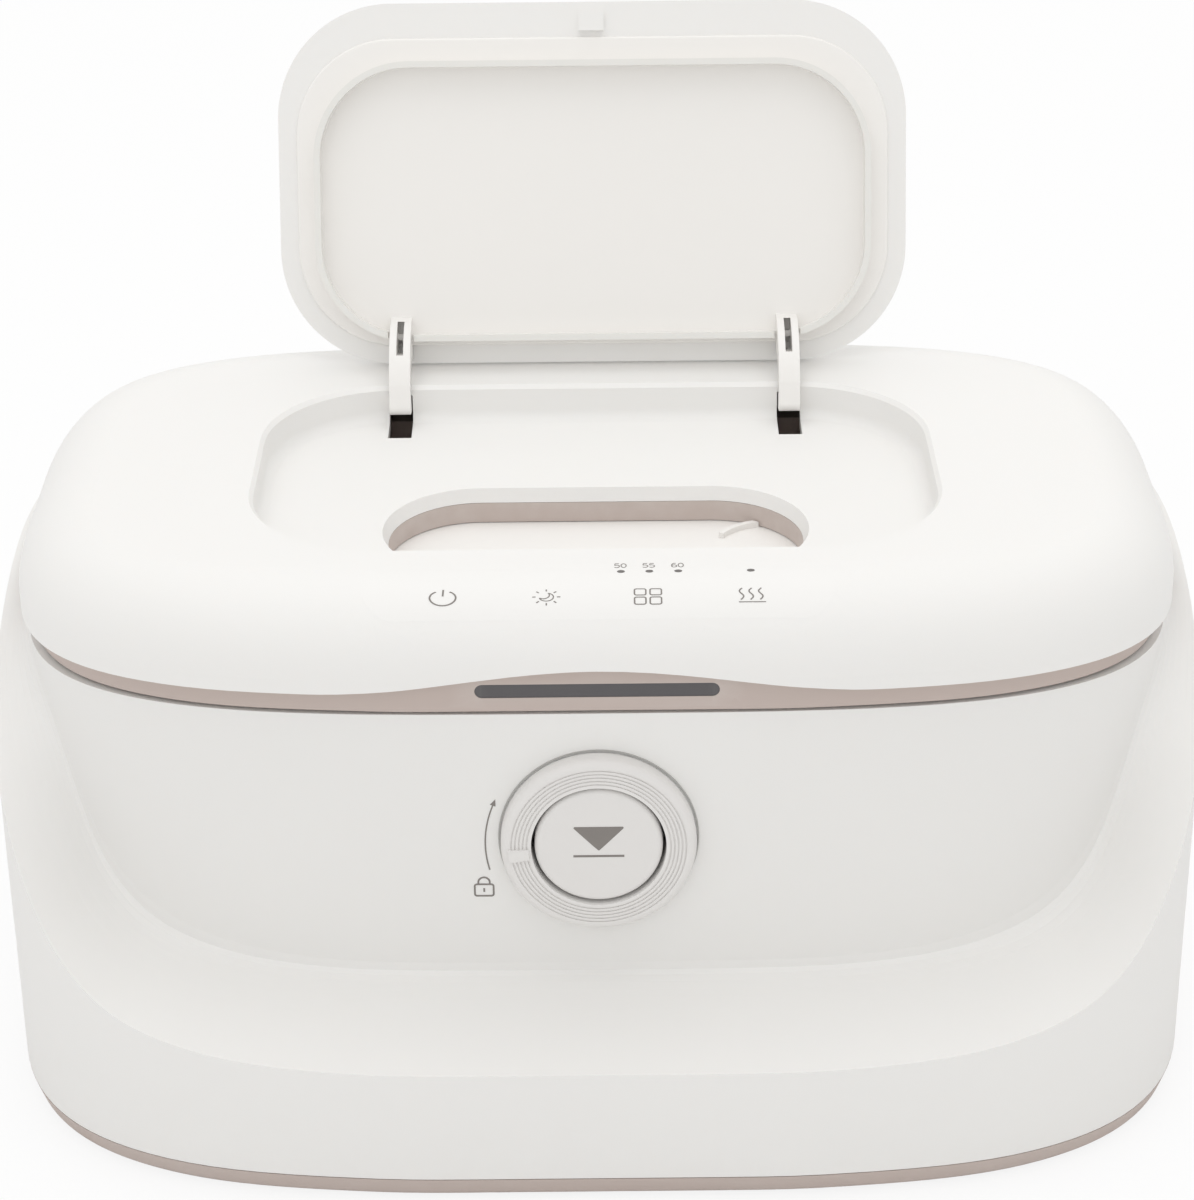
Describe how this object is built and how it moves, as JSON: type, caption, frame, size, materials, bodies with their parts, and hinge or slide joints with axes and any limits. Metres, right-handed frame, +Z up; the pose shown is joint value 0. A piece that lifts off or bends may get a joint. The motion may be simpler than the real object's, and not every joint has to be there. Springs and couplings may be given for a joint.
{
  "type": "baby wipe warmer",
  "caption": "Rounded countertop wipe warmer with a hinged main lid, an upright flip lid over the dispensing opening, touch keys and a lockable round release knob.",
  "frame": {"origin": "middle of the footprint, on the surface the feet stand on", "axes": "+X to the right seen from the front, +Y to the back, +Z up; the knob faces -Y"},
  "size_m": [0.2586, 0.189, 0.2017],
  "materials": {
    "white_shell": "fine satin moulded white plastic",
    "taupe_shell": "fine satin moulded taupe plastic",
    "inner_white": "satin moulded white plastic",
    "rubber": "matte rubber",
    "silicone": "matte white silicone",
    "steel": "plain bright steel",
    "spring_steel": "drawn spring wire",
    "heater_metal": "rolled aluminium sheet",
    "heater_film": "glossy amber film",
    "foam": "closed cell foam",
    "board": "solder mask green",
    "black_plastic": "satin black plastic",
    "grey_plastic": "satin grey plastic",
    "wire": "flexible wire cover",
    "touch_film": "smooth white touch film",
    "dark_window": "smoked translucent plastic",
    "diffuser": "milky light guide"
  },
  "bodies": {
    "base": {"base_pan": "taupe_shell", "rubber_feet": "rubber", "base_screws": "steel", "body_shell": "white_shell", "inner_tank": "inner_white", "tank_screws": "steel", "heater_plate": "heater_metal", "heater_film": "heater_film", "insulation_pad": "foam", "temperature_sensor": "black_plastic", "thermal_fuse": "steel", "main_board": "board", "board_parts": "black_plastic", "board_screws": "steel", "dc_jack": "black_plastic", "supply_wires": "wire", "heater_wires": "wire", "button_spring": "spring_steel", "latch_housing": "grey_plastic", "latch_screws": "steel", "latch_pin": "steel", "latch_spring": "spring_steel", "hinge_pins": "steel", "hinge_springs": "spring_steel"},
    "lock_ring": {"lock_ring": "white_shell"},
    "push_button": {"push_button": "white_shell"},
    "latch_lever": {"latch_lever": "grey_plastic"},
    "main_lid": {"lid_top_shell": "white_shell", "lid_bottom_shell": "taupe_shell", "lid_gasket": "silicone", "lid_screws": "steel", "touch_strip": "touch_film", "touch_board": "board", "touch_pads": "foam", "touch_screws": "steel", "light_window": "dark_window", "light_guide": "diffuser", "light_board": "board", "wipe_plate": "inner_white", "wipe_plate_screws": "steel", "flip_pins": "steel"},
    "flip_lid": {"flip_cover": "white_shell", "flip_liner": "inner_white", "flip_seal": "silicone"}
  },
  "joints": [
    {"name": "main_lid_hinge", "type": "hinge", "parent": "base", "child": "main_lid", "pos_m": [0, 0.0898, 0.098], "axis": [-1, 0, 0], "range_deg": [0, 72]},
    {"name": "flip_lid_hinge", "type": "hinge", "parent": "main_lid", "child": "flip_lid", "pos_m": [0, 0.056, 0.1175], "axis": [1, 0, 0], "range_deg": [0, 109]},
    {"name": "button_slide", "type": "slide", "parent": "base", "child": "push_button", "axis": [0, 1, 0], "range_m": [0, 0.0022], "stiffness_N_per_m": 600, "springref_m": -0.0012, "deforming": ["button_spring"]},
    {"name": "lock_ring_turn", "type": "hinge", "parent": "base", "child": "lock_ring", "pos_m": [0, -0.0587, 0.067], "axis": [0, 1, 0], "range_deg": [-21, 27]},
    {"name": "latch_lever_pivot", "type": "hinge", "parent": "base", "child": "latch_lever", "pos_m": [0, -0.0464, 0.034], "axis": [-1, 0, 0], "range_deg": [0, 4]}
  ],
  "couplings": [
    {"joint": "latch_lever_pivot", "follows": "button_slide", "rad_per_m": 30.303}
  ]
}
